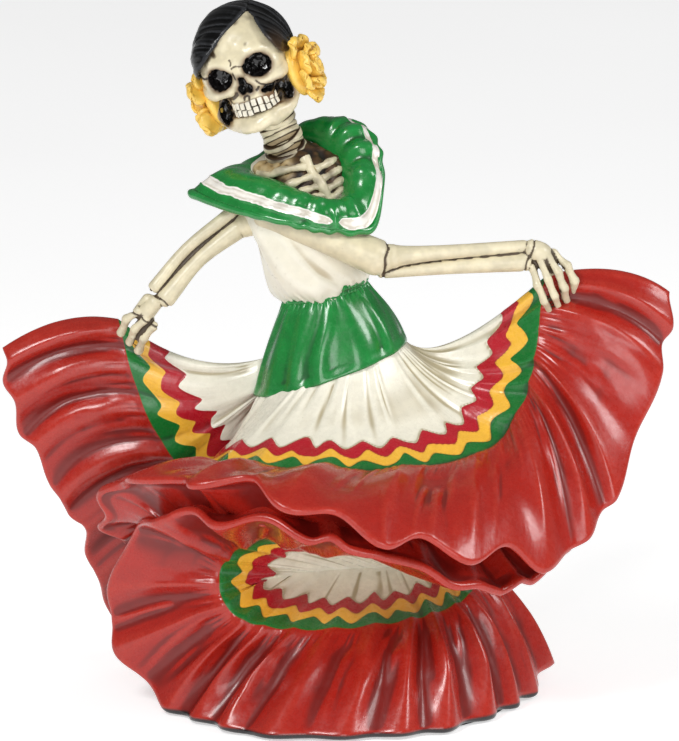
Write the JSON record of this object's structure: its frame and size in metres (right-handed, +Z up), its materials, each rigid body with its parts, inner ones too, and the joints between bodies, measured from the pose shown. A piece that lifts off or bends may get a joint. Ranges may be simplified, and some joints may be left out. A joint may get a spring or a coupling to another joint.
{
  "type": "day of the dead skeleton figure",
  "caption": "Cast resin skeleton dancer with a wide swirling ruffled skirt, arms spread to raise its hems, head tilted and roses in the hair; stands on a flat underside.",
  "frame": {"origin": "middle of the bounding box in X and Y, at the flat underside", "axes": "+Z up from the underside to the crown, -Y the side that the ribs face, +X the side of the straight outstretched arm and the raised hem"},
  "size_m": [0.1782, 0.1142, 0.19],
  "materials": {
    "painted_resin": "hand-painted cast resin, satin to gloss",
    "skirt_paint": "gloss red paint with green, yellow and antiqued cream trims",
    "bone_paint": "bone-coloured paint with a dark brown wash, satin",
    "hair_paint": "gloss black paint",
    "rose_paint": "yellow paint with an ochre wash, satin"
  },
  "bodies": {
    "root": {"dancing_skeleton": "painted_resin"}
  },
  "joints": []
}
